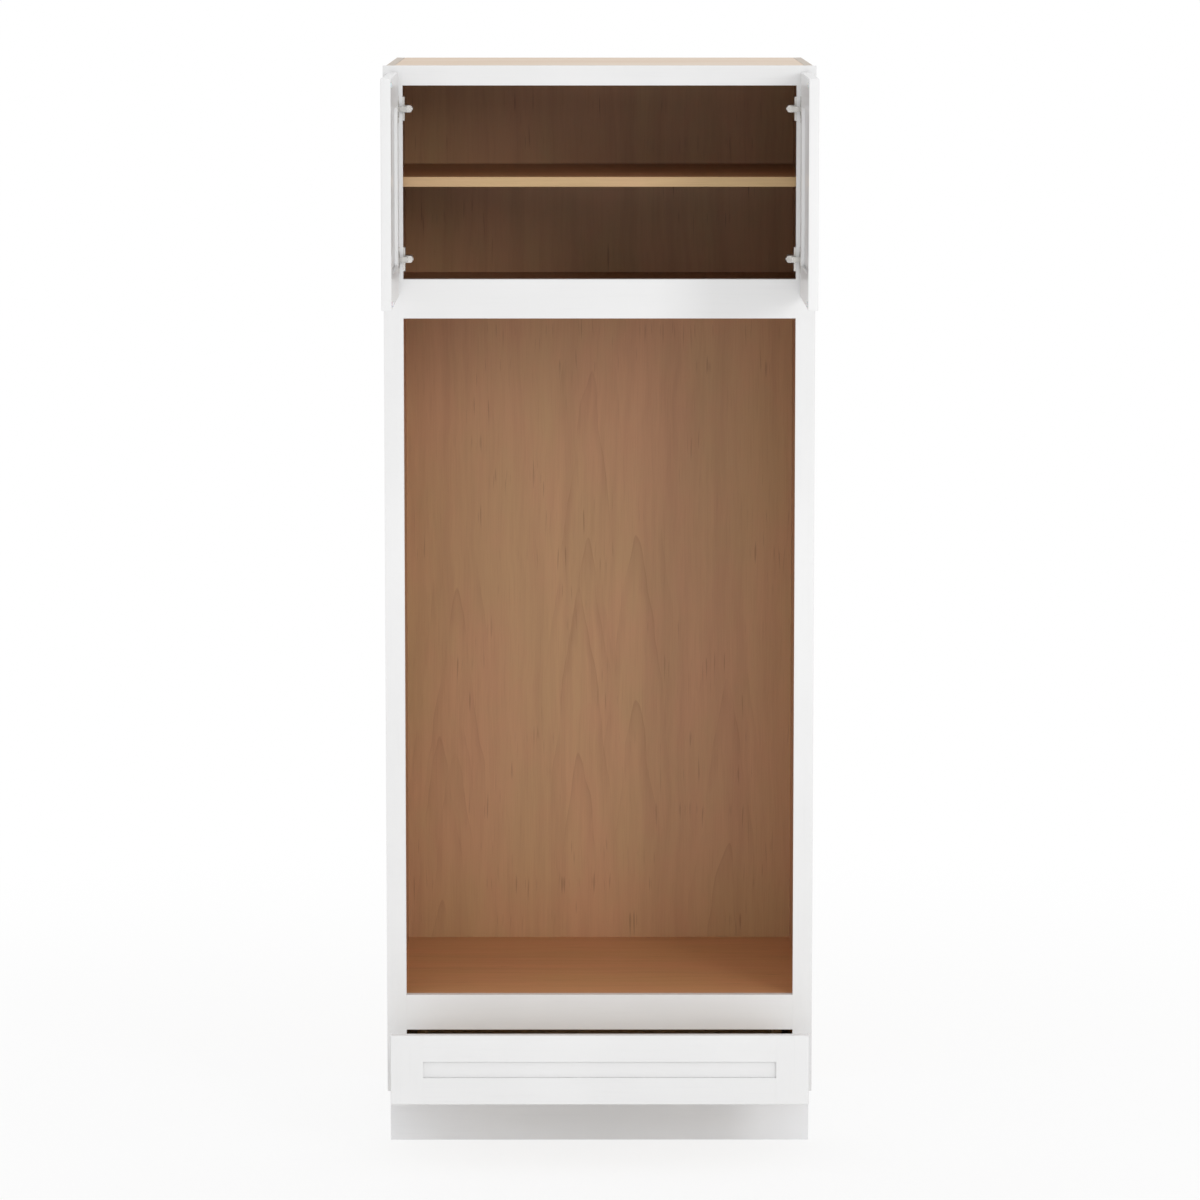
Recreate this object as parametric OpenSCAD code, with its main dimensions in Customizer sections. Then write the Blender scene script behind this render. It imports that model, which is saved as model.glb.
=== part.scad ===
// Framed tall cabinet for a double wall oven: one shelf compartment with two doors above,
// the open oven bay in the middle, one shallow drawer below, and a recessed toe kick.
// Lengths are millimetres. +Z is up, -Y is the front, and X = 0 is the middle of the cabinet.
// The doors are drawn open at a right angle and the drawer is drawn partly out.

/* [Cabinet] */
// Width over the face frame
cabinet_w = 838.2; // [762:1:914.4]
// Height from the floor to the top
cabinet_h = 2133.6; // [2032:1:2438.4]
// Depth from the face of the frame to the wall
cabinet_d = 609.6; // [600:1:700]
// Thickness of the side panels
side_t = 15.875; // [15:0.1:18]
// How far the face frame stands past each side panel
side_inset = 6.35; // [4:0.1:8]
// Thickness of the back panel
back_t = 9.525; // [6:0.1:12]
// Thickness of the top panel
top_t = 15.875; // [12:0.1:19]
// Thickness of the two decks that carry ovens and shelf goods
deck_t = 19.05; // [15:0.1:22]
// Thickness of the bottom panel
bottom_t = 15.875; // [12:0.1:19]
// Depth of the grooves in the side panels that hold the decks and the back
housing_d = 6.35; // [4:0.1:8]
// Open joint line beside the top panel
top_joint = 0.8; // [0.3:0.1:1.5]
// Gap left all round where one board is let into another
fit_gap = 0.1; // [0.05:0.05:0.3]

/* [Toe kick] */
// Height of the toe kick
toe_h = 114.3; // [80:0.1:130]
// How far the toe kick skin stands behind the face of the frame
toe_set = 69.85; // [50:0.1:90]
// Thickness of the painted skin
toe_skin_t = 6.35; // [4:0.1:9]
// How far the skin passes the side panel at each end
toe_skin_over = 3.175; // [1:0.1:6]
// Thickness of the board behind the skin and of the rail at the back
toe_board_t = 15.875; // [12:0.1:19]

/* [Face frame] */
// Thickness of the stiles and rails
frame_t = 19.05; // [19:0.1:22]
// Width of the stiles
stile_w = 38.1; // [36:0.1:50]
// Height of the top rail
top_rail_h = 38.1; // [32:0.1:60]
// Height of the rail between the doors and the oven bay
upper_rail_h = 76.2; // [60:0.1:100]
// Height of the rail between the oven bay and the drawer
lower_rail_h = 69.85; // [50:0.1:90]
// Height of the bottom rail
bottom_rail_h = 38.1; // [32:0.1:60]
// Height of the opening for the drawer
drawer_bay_h = 85.725; // [80:0.1:130]
// Height of the opening for the ovens
oven_bay_h = 1336.675; // [1200:0.1:1350]
// Depth of the groove behind each stile that holds a side panel
stile_groove_d = 6.35; // [4:0.1:8]
// Length of the tenons on the rails
tenon_l = 12.7; // [8:0.1:14]
// Thickness of the tenons
tenon_t = 6.35; // [5:0.1:8]
// Shoulder above and below a tenon
tenon_inset = 6.35; // [4:0.1:9]

/* [Shelf] */
// How far the deck behind the doors lies below the top of its rail
deck_lip = 25.4; // [0:0.1:40]
// Place of the shelf between that deck and the top panel, as a share of the room
shelf_share = 0.504; // [0.35:0.001:0.65]
// Thickness of the shelf
shelf_t = 19.05; // [15:0.1:22]
// Thickness of the solid band on the shelf's front edge
shelf_band_t = 1; // [0.5:0.1:3]
// How far the shelf's front edge stands behind the face of the frame
shelf_set = 28.6; // [24:0.1:60]
// Gap at each end of the shelf
shelf_gap = 1.6; // [0.8:0.1:3]
// Diameter of the shelf pins
shelf_pin_d = 5; // [4:0.1:6]
// Spacing of the shelf pin holes
pin_pitch = 32; // [24:1:40]
// Holes above and below the one in use
pin_rows = 2; // [0:1:2]
// Depth of a shelf pin hole
pin_hole_d = 10; // [7:0.1:12]
// Distance from the frame, or from the back panel, to a row of pin holes
pin_row_set = 60; // [40:1:90]

/* [Doors] */
// How far a door laps over the stile
lap_side = 25.4; // [15:0.1:30]
// How far a door laps over the top rail
lap_top = 25.4; // [15:0.1:30]
// How far a door laps over the rail under it
lap_bottom = 31.75; // [15:0.1:40]
// Gap between the two closed doors
door_gap = 3.2; // [2:0.1:5]
// Thickness of a door
door_t = 19.05; // [18:0.1:22]
// Width of the stiles and rails of a door
door_frame_w = 63.5; // [55:0.1:80]
// Thickness of the flat centre panels
panel_t = 6.35; // [5:0.1:8]
// Depth of the groove that holds a centre panel
panel_groove_d = 9.5; // [7:0.1:12]
// Room left for a centre panel to swell in its groove
panel_room = 0.8; // [0.4:0.1:1.5]
// Chamfer on the outer edges of the doors and of the drawer front
edge_ease = 1.2; // [0.5:0.1:2]
// Gap between the frame and the back of a closed door or drawer front
bumper_gap = 3; // [2.8:0.1:3.4]

/* [Hinges] */
// Distance from the end of a door to the middle of its hinge
hinge_set = 70.5; // [50:0.1:90]
// Diameter of the cup bored into the door
cup_d = 35; // [35:0.1:36]
// Depth of the cup bore
cup_depth = 13.5; // [13.2:0.1:14.5]
// Wood left between the cup bore and the edge of the door
cup_tab = 3; // [2.5:0.1:4]
// Sheet thickness of the cup
cup_sheet = 0.8; // [0.6:0.1:0.9]
// Thickness of the cup's flange
flange_t = 1.2; // [0.8:0.1:1.5]
// Length of the cup's flange over its two ears
flange_l = 52; // [50:0.1:60]
// Width of an ear of the flange
ear_w = 13; // [12:0.1:16]
// Distance from the edge of a door to the hinge pin
hinge_pin_in = 7.9; // [7.4:0.1:8.1]
// Depth of the hinge pin behind the back of the door
hinge_pin_deep = 10.1; // [9.8:0.1:10.3]
// Diameter of the hinge pin
pin_d = 3; // [2.5:0.1:3]
// Clearance of the pin in its bores, on the radius
pin_play = 0.05; // [0.02:0.01:0.1]
// Outer diameter of the barrel that turns on the pin
barrel_d = 4.4; // [4.2:0.1:4.6]
// Width of the arm where it reaches into the cup
arm_w = 10; // [8:0.1:11]
// Length of the mounting plate along the stile
plate_l = 47.5; // [42:0.1:60]
// Thickness of the mounting plate
plate_t = 4; // [3:0.1:4.5]
// Width of the mounting plate, front to back
plate_w = 17; // [15:0.1:18]
// Width of the channel-shaped arm body
channel_w = 13.5; // [13:0.1:16]
// How far the arm body stands off the mounting plate
channel_h = 14; // [12:0.1:16]
// Length of the arm body, front to back
channel_l = 40; // [30:0.1:50]
// Diameter of the hinge screws
screw_d = 3.8; // [3:0.1:4.2]
// Diameter of the heads of the hinge screws
screw_head_d = 7.2; // [6:0.1:8]

/* [Drawer] */
// How far the drawer front laps over the opening on every side
drawer_lap = 25.4; // [15:0.1:30]
// Height of the rails of the drawer front
drawer_rail_h = 52.5; // [40:0.1:56]
// How far out the drawer stands as drawn
drawer_out = 155; // [0:1:300]
// Gap between the stile and the drawer box, filled by the slide
slide_w = 19.05; // [19:0.1:22]
// Thickness of the drawer box boards
box_t = 15.875; // [12:0.1:18]
// Height of the drawer box
box_h = 59.6; // [56:0.1:70]
// Height of the drawer box above the bottom rail
box_lift = 6.4; // [4:0.1:12]
// Thickness of the drawer bottom
box_bottom_t = 6.35; // [5:0.1:8]
// Wood below the drawer bottom
box_bottom_up = 9.5; // [7:0.1:14]
// Depth of the groove that holds the drawer bottom
box_groove_d = 6.35; // [4:0.1:8]
// Slope of the dovetails, as run over rise
dovetail_slope = 0.16; // [0.1:0.01:0.2]

/* [Slides] */
// Length of each slide member, which also sets the length of the drawer box
slide_l = 530; // [450:1:550]
// Height of the slide
slide_h = 45.7; // [45:0.1:50]
// Sheet thickness of the webs
slide_sheet = 1.4; // [1.2:0.1:1.6]
// Diameter of the balls
ball_d = 4.8; // [4.4:0.1:5]
// Clearance of a ball in its race, on the radius
race_play = 0.05; // [0.02:0.01:0.1]
// Spacing of the balls in a cage
ball_pitch = 50; // [25:1:60]
// Balls in each row of a cage
ball_count = 5; // [3:1:8]

/* [Hidden] */
$fn = 48;
PAINT = "whitesmoke";
MAPLE = "burlywood";
VENEER = "tan";
STEEL = "silver";
BRIGHT = "gainsboro";
RUBBER = "lightgray";

// The cabinet's own levels and planes, with the face of the frame at y = 0
frame_half = cabinet_w / 2;
bay_half = frame_half - stile_w;
side_out = frame_half - side_inset;
side_in = side_out - side_t;
back_y = cabinet_d - back_t;
bay_z0 = toe_h + bottom_rail_h;
lower_rail_z = bay_z0 + drawer_bay_h;
oven_z0 = lower_rail_z + lower_rail_h;
upper_rail_z = oven_z0 + oven_bay_h;
door_bay_z0 = upper_rail_z + upper_rail_h;
top_rail_z = cabinet_h - top_rail_h;
upper_deck_z = door_bay_z0 - deck_lip;
shelf_room = cabinet_h - top_t - upper_deck_z - shelf_t;
shelf_z = upper_deck_z + shelf_share * shelf_room;
toe_notch_y = toe_set + toe_skin_t;
pin_ys = [frame_t + pin_row_set, back_y - pin_row_set];
pin_z = shelf_z - shelf_pin_d / 2;

// Doors, drawn closed and then swung about the hinge pins. The back edge of a door turns on a
// circle that has to be smaller than the pin's distance from the frame.
door_edge_x = bay_half + lap_side;
door_x0 = door_gap / 2;
door_z0 = door_bay_z0 - lap_bottom;
door_z1 = top_rail_z + lap_top;
pivot_x = door_edge_x - hinge_pin_in;
pivot_y = -bumper_gap - hinge_pin_deep;
door_reach = pivot_x - door_x0 - pivot_y;
hinge_zs = [door_z0 + hinge_set, door_z1 - hinge_set];

// Hinge details
cup_r = cup_d / 2;
cup_x = door_edge_x - cup_tab - cup_r;
cup_in_r = cup_r - fit_gap / 2 - cup_sheet;
flange_rim = 1;
ear_z = (flange_l - ear_w) / 2;
lug_t = 3;
lug_half = 3.2;
arm_t = 1.8;
arm_low = barrel_d / 2;
arm_play = 0.4;
hinge_pin_half = arm_w / 2 + arm_play + lug_t - 0.2;
strap_set = 2.75;
strap_x = cup_x - cup_in_r + strap_set;
strap_t = 2.5;
channel_y = 0.5;
channel_sheet = 1.4;
channel_round = 4;
plate_y = 1;
plate_round = 3;
plate_screw_in = 6.25;
plate_screw_z = plate_l / 2 - plate_screw_in;
plate_screw_y = plate_y + plate_w / 2;
screw_grip = 14;
cup_screw_grip = 10;
head_h = 2;
recess_w = screw_head_d / 2;
recess_t = 0.9;
recess_deep = 1.2;
adjust_y = 12;
adjust_head_d = 6;
adjust_head_t = 1.6;
adjust_short = 1;
nose_t = 1.6;

// Centre panels stand in the middle of the thickness of their frames
panel_set = (door_t - panel_t) / 2;

// Drawer front and box
slide_y0 = 1;
front_half = bay_half + drawer_lap;
front_z0 = bay_z0 - drawer_lap;
front_z1 = lower_rail_z + drawer_lap;
box_half = bay_half - slide_w;
box_z0 = bay_z0 + box_lift;
box_z1 = box_z0 + box_h;
box_y0 = -bumper_gap;
box_past_slide = 0.4;
box_y1 = slide_y0 + slide_l + box_past_slide;
box_bottom_z = box_z0 + box_bottom_up;
tail_count = 2;
tail_pitch = box_h / tail_count;
tail_base = tail_pitch / 2;
bumper_d = 10;
bumper_play = 0.2;
bumper_t = bumper_gap - bumper_play;
bumper_set = 12;
front_screw_count = 4;
front_screw_end = 44;
front_screw_half = box_half - front_screw_end;
front_screw_pitch = 2 * front_screw_half / (front_screw_count - 1);
front_screw_z = box_z0 + box_bottom_up / 2;
front_screw_head_room = 1.5;
front_screw_head_d = box_bottom_up - front_screw_head_room;
front_screw_grip = 12;

// Slides: u runs from the cabinet towards the drawer, v runs up from the middle
slide_z = box_z0 + box_h / 2;
ball_r = ball_d / 2;
race_r = ball_r + race_play;
race_drop = 1.7;
outer_lip = 2.25;
middle_lip = 2.9;
inner_lip = 2.15;
outer_u = 7.5;
inner_u = 11.5;
middle_u = 2.6;
outer_v = slide_h / 2 - outer_lip - race_drop;
middle_v = outer_v - race_drop;
inner_v = middle_v - middle_lip - race_drop;
drawer_v = inner_v - race_drop;
lip_past_race = 4;
cage_w = 6;
cage_t = 1;
cage_end = 25;
cage_l = ball_pitch * (ball_count - 1) + 2 * cage_end;
cage_y0 = slide_y0 + (slide_l - cage_l) / 2;

// Oven deck cleats
cleat_h = 38.1;
cleat_t = 15.875;

// The origin is on the floor, in the middle of the cabinet with its doors standing open
front_y = (door_reach - cabinet_d) / 2;

// Places what is drawn from the face of the frame
module placed() {
    translate([0, front_y, 0]) children();
}

// The left-hand copy of a right-hand piece
module left_hand() {
    mirror([1, 0, 0]) children();
}

// Swings a closed right-hand door open by a right angle about its pins
module door_open() {
    translate([pivot_x, pivot_y, 0]) rotate([0, 0, 90])
        translate([-pivot_x, -pivot_y, 0]) children();
}

// Draws a closed drawer piece where the open drawer has it, or a share of the way there
module drawn_out(share = 1) {
    translate([0, -drawer_out * share, 0]) children();
}

// A plain board between two values on each axis
module board(x, y, z) {
    translate([x[0], y[0], z[0]]) cube([x[1] - x[0], y[1] - y[0], z[1] - z[0]]);
}

// The outline of a board's section with its four corners chamfered
module eased_section(w, h, e) {
    polygon([[e, 0], [w - e, 0], [w, e], [w, h - e], [w - e, h], [e, h], [0, h - e], [0, e]]);
}

// A slab with chamfers on every edge of its two faces, as a door or a drawer front has
module eased_slab(x, y, z, e) {
    intersection() {
        translate([x[0], y[0], z[0]]) linear_extrude(z[1] - z[0])
            eased_section(x[1] - x[0], y[1] - y[0], e);
        translate([x[0], y[0], z[0]]) rotate([90, 0, 90]) linear_extrude(x[1] - x[0])
            eased_section(y[1] - y[0], z[1] - z[0], e);
    }
}

// A round rod or hole along X, Y or Z from a point
module rod_x(p, r, l) {
    translate(p) rotate([0, 90, 0]) cylinder(r = r, h = l);
}
module rod_y(p, r, l) {
    translate(p) rotate([-90, 0, 0]) cylinder(r = r, h = l);
}
module rod_z(p, r, l) {
    translate(p) cylinder(r = r, h = l);
}

// The cross that a driver fits, cut upwards into a head whose face is at z = 0
module cross_recess() {
    for (turn = [0, 90]) rotate(turn)
        board([-recess_w / 2, recess_w / 2], [-recess_t / 2, recess_t / 2], [-1, recess_deep]);
}

// A screw that points up, with its countersunk head's face at z = 0. With play it is the hole
// for that screw, which has no recess.
module countersunk_screw(grip, play = 0) {
    difference() {
        union() {
            cylinder(r = screw_d / 2 + play, h = head_h + grip + play);
            cylinder(r1 = screw_head_d / 2 + play, r2 = screw_d / 2 + play, h = head_h);
        }
        if (play == 0) cross_recess();
    }
}

// The same screw at a point, turned to +X or to -Y
module screw_x(p, grip, play = 0) {
    translate(p) rotate([0, 90, 0]) countersunk_screw(grip, play);
}
module screw_y(p, grip, play = 0) {
    translate(p) rotate([90, 0, 0]) countersunk_screw(grip, play);
}

// Carcass

// The groove that a deck between z0 and z1 needs in the right-hand side panel
module deck_housing(z0, z1) {
    board([side_in - 1, side_in + housing_d], [frame_t - stile_groove_d - 1, back_y + 1],
          [z0 - fit_gap, z1 + fit_gap]);
}

module side_panel() {
    top_tongue_z = cabinet_h - top_t;
    difference() {
        board([side_in, side_out], [frame_t - stile_groove_d, cabinet_d], [0, cabinet_h]);
        // Toe kick notch
        board([side_in - 1, side_out + 1], [-1, toe_notch_y], [-1, toe_h]);
        // Rebate for the back panel
        board([side_in - 1, side_in + housing_d], [back_y - fit_gap, cabinet_d + 1], [-1, cabinet_h + 1]);
        deck_housing(bay_z0 - bottom_t, bay_z0);
        deck_housing(oven_z0 - deck_t, oven_z0);
        deck_housing(upper_deck_z - deck_t, upper_deck_z);
        deck_housing(top_tongue_z, top_tongue_z + top_t / 2);
        for (y = pin_ys, row = [-pin_rows : pin_rows])
            rod_x([side_in - 1, y, pin_z + row * pin_pitch], shelf_pin_d / 2, pin_hole_d + 1);
    }
}

// A deck whose ends are let into both side panels
module deck(z0, z1) {
    reach = side_in + housing_d - fit_gap;
    board([-reach, reach], [frame_t, back_y - fit_gap], [z0, z1]);
}

module side_panel_left() { color(PAINT) placed() left_hand() side_panel(); }
module side_panel_right() { color(PAINT) placed() side_panel(); }

// The top panel has a tongue on the lower half of each end
module top_panel() {
    z0 = cabinet_h - top_t;
    reach = side_in - top_joint;
    color(MAPLE) placed() {
        board([-reach, reach], [frame_t, back_y - fit_gap], [z0, cabinet_h]);
        deck(z0, z0 + top_t / 2);
    }
}
module upper_deck() { color(MAPLE) placed() deck(upper_deck_z - deck_t, upper_deck_z); }
module oven_deck() { color(MAPLE) placed() deck(oven_z0 - deck_t, oven_z0); }
module bottom_panel() { color(MAPLE) placed() deck(bay_z0 - bottom_t, bay_z0); }

module back_panel() {
    reach = side_in + housing_d - fit_gap;
    color(VENEER) placed() board([-reach, reach], [back_y, cabinet_d], [0, cabinet_h - top_t]);
}

module toe_kick_board() {
    reach = side_in - fit_gap;
    color(MAPLE) placed()
        board([-reach, reach], [toe_notch_y, toe_notch_y + toe_board_t], [0, bay_z0 - bottom_t - fit_gap]);
}
module toe_kick_skin() {
    reach = side_out + toe_skin_over;
    color(PAINT) placed() board([-reach, reach], [toe_set, toe_notch_y], [0, toe_h]);
}
module rear_base_rail() {
    reach = side_in - fit_gap;
    color(MAPLE) placed()
        board([-reach, reach], [back_y - toe_board_t - fit_gap, back_y - fit_gap],
              [0, bay_z0 - bottom_t - fit_gap]);
}

// Cleats screwed to the side panels take the weight of the ovens off the deck's grooves
module oven_deck_cleats() {
    z1 = oven_z0 - deck_t - fit_gap;
    color(MAPLE) placed() for (side = [0, 1]) mirror([side, 0, 0])
        board([side_in - cleat_t, side_in], [frame_t, back_y - fit_gap], [z1 - cleat_h, z1]);
}

// Face frame

// The mortise in the right-hand stile for a rail between z0 and z1
module mortise(z0, z1) {
    y0 = (frame_t - tenon_t) / 2;
    board([bay_half - 1, bay_half + tenon_l + fit_gap], [y0 - fit_gap, y0 + tenon_t + fit_gap],
          [z0 + tenon_inset - fit_gap, z1 - tenon_inset + fit_gap]);
}

module stile() {
    difference() {
        board([bay_half, frame_half], [0, frame_t], [toe_h, cabinet_h]);
        board([side_in - fit_gap, side_out + fit_gap], [frame_t - stile_groove_d - fit_gap, frame_t + 1],
              [toe_h - 1, cabinet_h + 1]);
        mortise(toe_h, bay_z0);
        mortise(lower_rail_z, oven_z0);
        mortise(upper_rail_z, door_bay_z0);
        mortise(top_rail_z, cabinet_h);
        plate_screw_set(fit_gap / 2);
    }
}

// A rail with a stub tenon on each end
module rail(z0, z1) {
    y0 = (frame_t - tenon_t) / 2;
    reach = bay_half + tenon_l;
    board([-bay_half, bay_half], [0, frame_t], [z0, z1]);
    board([-reach, reach], [y0, y0 + tenon_t], [z0 + tenon_inset, z1 - tenon_inset]);
}

module stile_left() { color(PAINT) placed() left_hand() stile(); }
module stile_right() { color(PAINT) placed() stile(); }
module top_rail() { color(PAINT) placed() rail(top_rail_z, cabinet_h); }
module upper_rail() { color(PAINT) placed() rail(upper_rail_z, door_bay_z0); }
module lower_rail() { color(PAINT) placed() rail(lower_rail_z, oven_z0); }
module bottom_rail() { color(PAINT) placed() rail(toe_h, bay_z0); }

// Shelf

// A board of the shelf between two depths
module shelf_board(y0, y1) {
    reach = side_in - shelf_gap;
    placed() board([-reach, reach], [y0, y1], [shelf_z, shelf_z + shelf_t]);
}
module shelf() { color(MAPLE) shelf_board(shelf_set + shelf_band_t, back_y - shelf_gap); }
module shelf_edge_band() { color(MAPLE) shelf_board(shelf_set, shelf_set + shelf_band_t); }

// A peg in the side panel with a flat round-ended tab that the shelf lies on
module shelf_pin(y) {
    tab_l = 11;
    tab_w = 9;
    tab_h = 2;
    rod_x([side_in - tab_l, y, pin_z], (shelf_pin_d - fit_gap) / 2, tab_l + pin_hole_d - 1);
    board([side_in - tab_l, side_in - fit_gap], [y - tab_w / 2, y + tab_w / 2], [shelf_z - tab_h, shelf_z]);
    rod_z([side_in - tab_l, y, shelf_z - tab_h], tab_w / 2, tab_h);
}

module shelf_pins() {
    color(STEEL) placed() for (side = [0, 1], y = pin_ys) mirror([side, 0, 0]) shelf_pin(y);
}

// Hinges: a cup let into the door, and an arm on a plate at the inner edge of the stile

// All screws of the right-hand plates, or with play the holes for them
module plate_screw_set(play = 0) {
    for (z = hinge_zs, end = [-1, 1])
        screw_x([bay_half - plate_t, plate_screw_y, z + end * plate_screw_z],
                plate_t + screw_grip - head_h, play);
}

// The screw that clamps an arm to its plate
module adjust_screw(z, play = 0) {
    head_x = bay_half - plate_t - channel_h - adjust_head_t;
    difference() {
        union() {
            rod_x([head_x, adjust_y, z], adjust_head_d / 2, adjust_head_t);
            rod_x([head_x, adjust_y, z], screw_d / 2 + play,
                  adjust_head_t + channel_h + plate_t - adjust_short + play);
        }
        if (play == 0) translate([head_x, adjust_y, z]) rotate([0, 90, 0]) cross_recess();
    }
}

// A rounded plate in the Y-Z plane
module plate_outline() {
    h = plate_l / 2;
    r = plate_round;
    translate([plate_y, -h + r]) square([plate_w, 2 * (h - r)]);
    translate([plate_y + r, -h]) square([plate_w - 2 * r, 2 * h]);
    for (y = [plate_y + r, plate_y + plate_w - r], z = [-h + r, h - r]) translate([y, z]) circle(r);
}

module hinge_plate(z) {
    difference() {
        translate([bay_half - plate_t, 0, z]) rotate([90, 0, 90]) linear_extrude(plate_t) plate_outline();
        plate_screw_set(fit_gap / 2);
        adjust_screw(z, fit_gap / 2);
    }
}

// The section of the arm body: a channel with two rounded corners, open towards the stile
module channel_section(inset) {
    r = channel_round - inset;
    w = channel_w / 2 - inset;
    translate([inset + r, -w]) square([channel_h - inset - r, 2 * w]);
    translate([inset, -w + r]) square([channel_h - inset, 2 * (w - r)]);
    for (v = [-1, 1]) translate([inset + r, v * (w - r)]) circle(r);
}

module hinge_arm(z) {
    body_x = bay_half - plate_t - channel_h;
    difference() {
        union() {
            // Channel with a closed nose
            difference() {
                translate([body_x, channel_y + channel_l, z]) rotate([90, 0, 0])
                    linear_extrude(channel_l) channel_section(0);
                translate([body_x, channel_y + channel_l + 1, z]) rotate([90, 0, 0])
                    linear_extrude(channel_l + 1 - nose_t) intersection() {
                        channel_section(channel_sheet);
                        translate([0, -channel_w]) square([channel_h - fit_gap, 2 * channel_w]);
                    }
                board([bay_half - plate_t - fit_gap, bay_half],
                      [channel_y + nose_t, channel_y + channel_l + 1],
                      [z - channel_w / 2 + channel_sheet, z + channel_w / 2 - channel_sheet]);
            }
            // Strap forward from the nose, then sideways to the pin
            board([strap_x, strap_x + strap_t], [pivot_y - arm_low, channel_y + nose_t],
                  [z - arm_w / 2, z + arm_w / 2]);
            board([strap_x, pivot_x], [pivot_y - arm_low, pivot_y - arm_low + arm_t],
                  [z - arm_w / 2, z + arm_w / 2]);
            rod_z([pivot_x, pivot_y, z - arm_w / 2], barrel_d / 2, arm_w);
        }
        rod_z([pivot_x, pivot_y, z - arm_w], pin_d / 2 + pin_play, 2 * arm_w);
        adjust_screw(z, fit_gap / 2);
    }
}

module hinge_plates() {
    color(STEEL) placed() for (side = [0, 1], z = hinge_zs) mirror([side, 0, 0]) hinge_plate(z);
}
module hinge_arms() {
    color(BRIGHT) placed() for (side = [0, 1], z = hinge_zs) mirror([side, 0, 0]) hinge_arm(z);
}
module plate_screws() {
    color(STEEL) placed() for (side = [0, 1]) mirror([side, 0, 0]) {
        plate_screw_set();
        for (z = hinge_zs) adjust_screw(z);
    }
}

// The cup, its flange with two ears, and the lugs that hold the pin, on a closed door
module hinge_cup(z) {
    floor_y = -bumper_gap - cup_depth + fit_gap / 2;
    difference() {
        union() {
            rod_y([cup_x, floor_y, z], cup_r - fit_gap / 2, -bumper_gap - floor_y);
            translate([cup_x, -bumper_gap + flange_t, z]) rotate([90, 0, 0]) linear_extrude(flange_t) {
                circle(cup_r + flange_rim);
                square([ear_w, 2 * ear_z], center = true);
                for (end = [-1, 1]) translate([0, end * ear_z]) circle(ear_w / 2);
            }
        }
        difference() {
            rod_y([cup_x, floor_y + cup_sheet, z], cup_in_r, cup_depth + flange_t);
            for (end = [-1, 1]) {
                lug_z = z + end * (arm_w / 2 + arm_play + lug_t / 2);
                board([pivot_x - lug_half, pivot_x + lug_half], [floor_y, pivot_y + lug_half],
                      [lug_z - lug_t / 2, lug_z + lug_t / 2]);
            }
        }
        rod_z([pivot_x, pivot_y, z - hinge_pin_half - fit_gap], pin_d / 2 + pin_play,
              2 * (hinge_pin_half + fit_gap));
        cup_screw_set(z, fit_gap / 2);
    }
}

// The two screws through a flange's ears, or with play the holes for them
module cup_screw_set(z, play = 0) {
    for (end = [-1, 1])
        screw_y([cup_x, -bumper_gap + flange_t, z + end * ear_z], cup_screw_grip, play);
}

module hinge_cups() {
    placed() door_open() for (z = hinge_zs) hinge_cup(z);
}
module hinge_fasteners() {
    placed() door_open() for (z = hinge_zs) {
        rod_z([pivot_x, pivot_y, z - hinge_pin_half], pin_d / 2, 2 * hinge_pin_half);
        cup_screw_set(z);
    }
}

module hinge_cups_left() { color(BRIGHT) left_hand() hinge_cups(); }
module hinge_cups_right() { color(BRIGHT) hinge_cups(); }
module hinge_fasteners_left() { color(STEEL) left_hand() hinge_fasteners(); }
module hinge_fasteners_right() { color(STEEL) hinge_fasteners(); }

// Framed panels: the doors and the drawer front share one way of jointing.
// x, y and z are the outer limits, and w and h are the stile width and the rail height.

// The groove round the inside of a frame, as one block that is cut from each member
module panel_groove(x, y, z, w, h) {
    board([x[0] + w - panel_groove_d, x[1] - w + panel_groove_d],
          [y[0] + panel_set - fit_gap, y[0] + panel_set + panel_t + fit_gap],
          [z[0] + h - panel_groove_d, z[1] - h + panel_groove_d]);
}

// One stile, with the groove stopped where the rails' tongues end
module framed_stile(x, y, z, w, h, high_side) {
    near = high_side ? [x[1] - w, x[1]] : [x[0], x[0] + w];
    difference() {
        intersection() {
            eased_slab(x, y, z, edge_ease);
            board(near, [y[0] - 1, y[1] + 1], [z[0] - 1, z[1] + 1]);
        }
        board([x[0] + w - panel_groove_d, x[1] - w + panel_groove_d],
              [y[0] + panel_set - fit_gap, y[0] + panel_set + panel_t + fit_gap],
              [z[0] - 1, z[1] + 1]);
    }
}

// One rail, with a tongue on each end that fills the stiles' grooves
module framed_rail(x, y, z, w, h, high_side) {
    near = high_side ? [z[1] - h, z[1]] : [z[0], z[0] + h];
    reach = panel_groove_d - fit_gap;
    difference() {
        union() {
            intersection() {
                eased_slab(x, y, z, edge_ease);
                board([x[0] + w, x[1] - w], [y[0] - 1, y[1] + 1], near);
            }
            board([x[0] + w - reach, x[1] - w + reach],
                  [y[0] + panel_set, y[0] + panel_set + panel_t], near);
        }
        panel_groove(x, y, z, w, h);
    }
}

module framed_panel(x, y, z, w, h) {
    reach = panel_groove_d - panel_room;
    board([x[0] + w - reach, x[1] - w + reach], [y[0] + panel_set, y[0] + panel_set + panel_t],
          [z[0] + h - reach, z[1] - h + reach]);
}

// Doors, right-hand and closed

door_xs = [door_x0, door_edge_x];
door_ys = [-bumper_gap - door_t, -bumper_gap];
door_zs = [door_z0, door_z1];

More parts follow.
